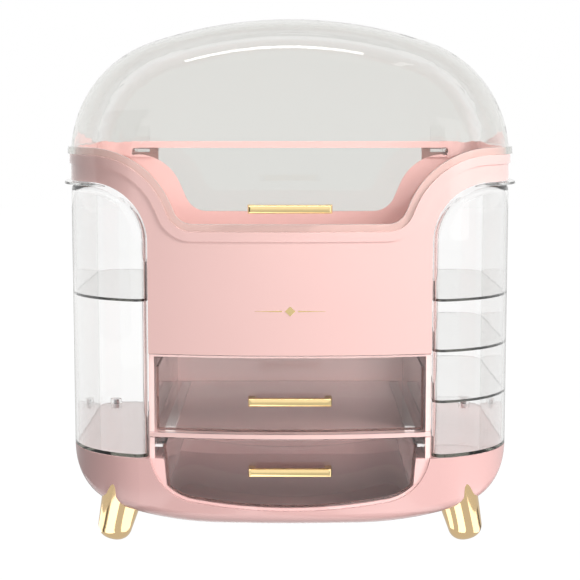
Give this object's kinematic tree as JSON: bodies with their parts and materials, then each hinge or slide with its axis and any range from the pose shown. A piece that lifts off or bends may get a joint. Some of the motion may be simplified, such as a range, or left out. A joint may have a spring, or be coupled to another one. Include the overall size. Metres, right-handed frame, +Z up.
{
  "type": "dustproof makeup organizer",
  "caption": "Vanity organizer with a boat-shaped base on splayed feet, two drawers, swing-out side caddies and a hinged clear dome over a saddle-edged well.",
  "frame": {"origin": "on the table under the middle of the whole box, handles and hinges included", "axes": "+Z up, the front with its handles faces -Y, +X to the viewer's right"},
  "size_m": [0.3812, 0.2711, 0.431],
  "materials": {
    "pink_plastic": "glossy moulded pink",
    "clear_plastic": "clear polished",
    "lid_plastic": "clear, faintly smoked",
    "gold_plating": "gold electroplated plastic",
    "gold_metal": "gold anodised",
    "steel": "zinc-plated",
    "white_plastic": "matte slide plastic"
  },
  "bodies": {
    "body": {"base_shell": "pink_plastic", "front_left_foot": "gold_plating", "front_right_foot": "gold_plating", "rear_left_foot": "gold_plating", "rear_right_foot": "gold_plating", "foot_screws": "steel", "column_housing": "pink_plastic", "base_screws": "steel", "roof_screws": "steel", "back_panel": "pink_plastic", "back_panel_screws": "steel", "drawer_divider": "pink_plastic", "upper_drawer_glides": "white_plastic", "lower_drawer_rails": "white_plastic", "upper_body": "pink_plastic", "rear_window": "clear_plastic", "hinge_brackets": "pink_plastic", "hinge_bracket_screws": "steel", "lid_hinge_pins": "steel", "left_pivot_pins": "steel", "right_pivot_pins": "steel"},
    "lid": {"lid_dome": "lid_plastic", "lid_hinge_leaves": "clear_plastic", "lid_handle": "gold_metal", "lid_handle_screws": "steel"},
    "upper_drawer": {"upper_drawer_tray": "clear_plastic", "upper_drawer_handle": "gold_metal", "upper_drawer_handle_screws": "steel"},
    "lower_drawer": {"lower_drawer_tray": "clear_plastic", "lower_drawer_handle": "gold_metal", "lower_drawer_handle_screws": "steel"},
    "left_caddy": {"left_caddy_shell": "clear_plastic", "left_caddy_shelf": "clear_plastic", "left_caddy_guards": "clear_plastic"},
    "right_caddy": {"right_caddy_shell": "clear_plastic", "right_caddy_lower_shelf": "clear_plastic", "right_caddy_middle_shelf": "clear_plastic", "right_caddy_upper_shelf": "clear_plastic", "right_caddy_guards": "clear_plastic"}
  },
  "joints": [
    {"name": "lid_hinge", "type": "hinge", "parent": "body", "child": "lid", "pos_m": [0, 0.13155, 0.3195], "axis": [-1, 0, 0], "range_deg": [0, 95]},
    {"name": "upper_drawer_slide", "type": "slide", "parent": "body", "child": "upper_drawer", "axis": [0, -1, 0], "range_m": [0, 0.17]},
    {"name": "lower_drawer_slide", "type": "slide", "parent": "body", "child": "lower_drawer", "axis": [0, -1, 0], "range_m": [0, 0.165]},
    {"name": "left_caddy_pivot", "type": "hinge", "parent": "body", "child": "left_caddy", "pos_m": [-0.168, 0.11745, 0.185], "axis": [0, 0, -1], "range_deg": [0, 100]},
    {"name": "right_caddy_pivot", "type": "hinge", "parent": "body", "child": "right_caddy", "pos_m": [0.168, 0.11745, 0.185], "axis": [0, 0, 1], "range_deg": [0, 100]}
  ]
}
